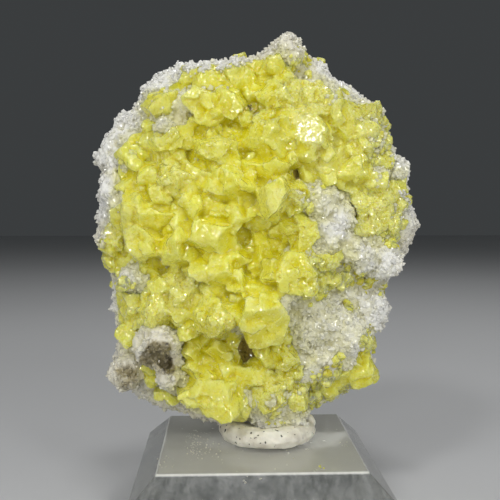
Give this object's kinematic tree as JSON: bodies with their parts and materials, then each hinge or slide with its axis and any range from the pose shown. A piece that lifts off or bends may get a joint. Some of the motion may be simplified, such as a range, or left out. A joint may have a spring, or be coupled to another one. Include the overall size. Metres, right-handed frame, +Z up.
{
  "type": "sulfur specimen on display block",
  "caption": "Yellow sulfur crystals over a white drusy rock plate, standing upright in putty on a clear bevelled display block.",
  "frame": {"origin": "centre of the display block's underside", "axes": "+X to the right of a viewer who faces the crystals, +Y away from that viewer, +Z up"},
  "size_m": [0.0702, 0.0514, 0.1017],
  "materials": {
    "clear_acrylic": "polished clear acrylic, slightly dusty",
    "mineral_putty": "dull off-white putty with small dark pits",
    "drusy_rock": "sparkling white druse over grey-brown rock",
    "sulfur": "waxy, half translucent yellow crystals"
  },
  "bodies": {
    "root": {"acrylic_block": "clear_acrylic", "putty": "mineral_putty", "matrix_rock": "drusy_rock", "sulfur_crust": "sulfur", "sulfur_lower_right": "sulfur", "sulfur_between_lumps": "sulfur", "sulfur_bottom_left": "sulfur", "sulfur_top_left": "sulfur", "sulfur_top_right": "sulfur", "sulfur_back_high": "sulfur", "sulfur_back_low": "sulfur"}
  },
  "joints": []
}
